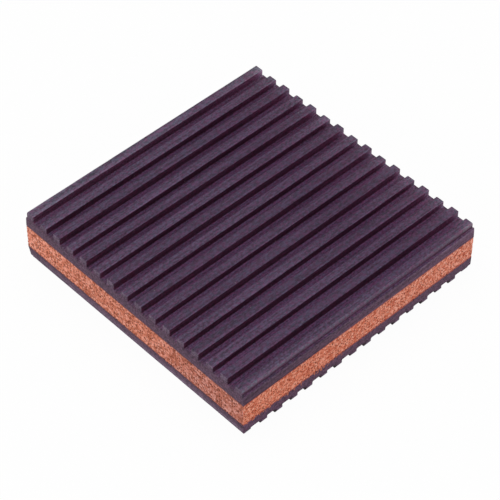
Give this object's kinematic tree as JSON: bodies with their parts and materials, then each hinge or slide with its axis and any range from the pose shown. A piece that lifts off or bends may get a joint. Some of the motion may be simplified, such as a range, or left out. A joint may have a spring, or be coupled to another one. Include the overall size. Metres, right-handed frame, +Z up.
{
  "type": "anti vibration machine pad",
  "caption": "Square anti vibration pad: a cork core bonded between two ribbed rubber sheets whose ribs cross, laid under the feet of a machine to damp vibration.",
  "frame": {"origin": "under the middle of the pad's bounding box, on the surface that the lower sheet's tall ribs stand on", "axes": "+X along the ribs of the upper sheet, +Y along the ribs of the lower sheet, +Z up through the thickness"},
  "size_m": [0.1016, 0.1016, 0.0211],
  "materials": {
    "rubber": "matte moulded black rubber with a faint purple cast, fine streaks along the ribs and knife-cut ends",
    "cork": "matte reddish composition cork, small pressed granules with dark and pale flecks on the cut sides"
  },
  "bodies": {
    "root": {"upper_rubber_sheet": "rubber", "cork_core": "cork", "lower_rubber_sheet": "rubber"}
  },
  "joints": []
}
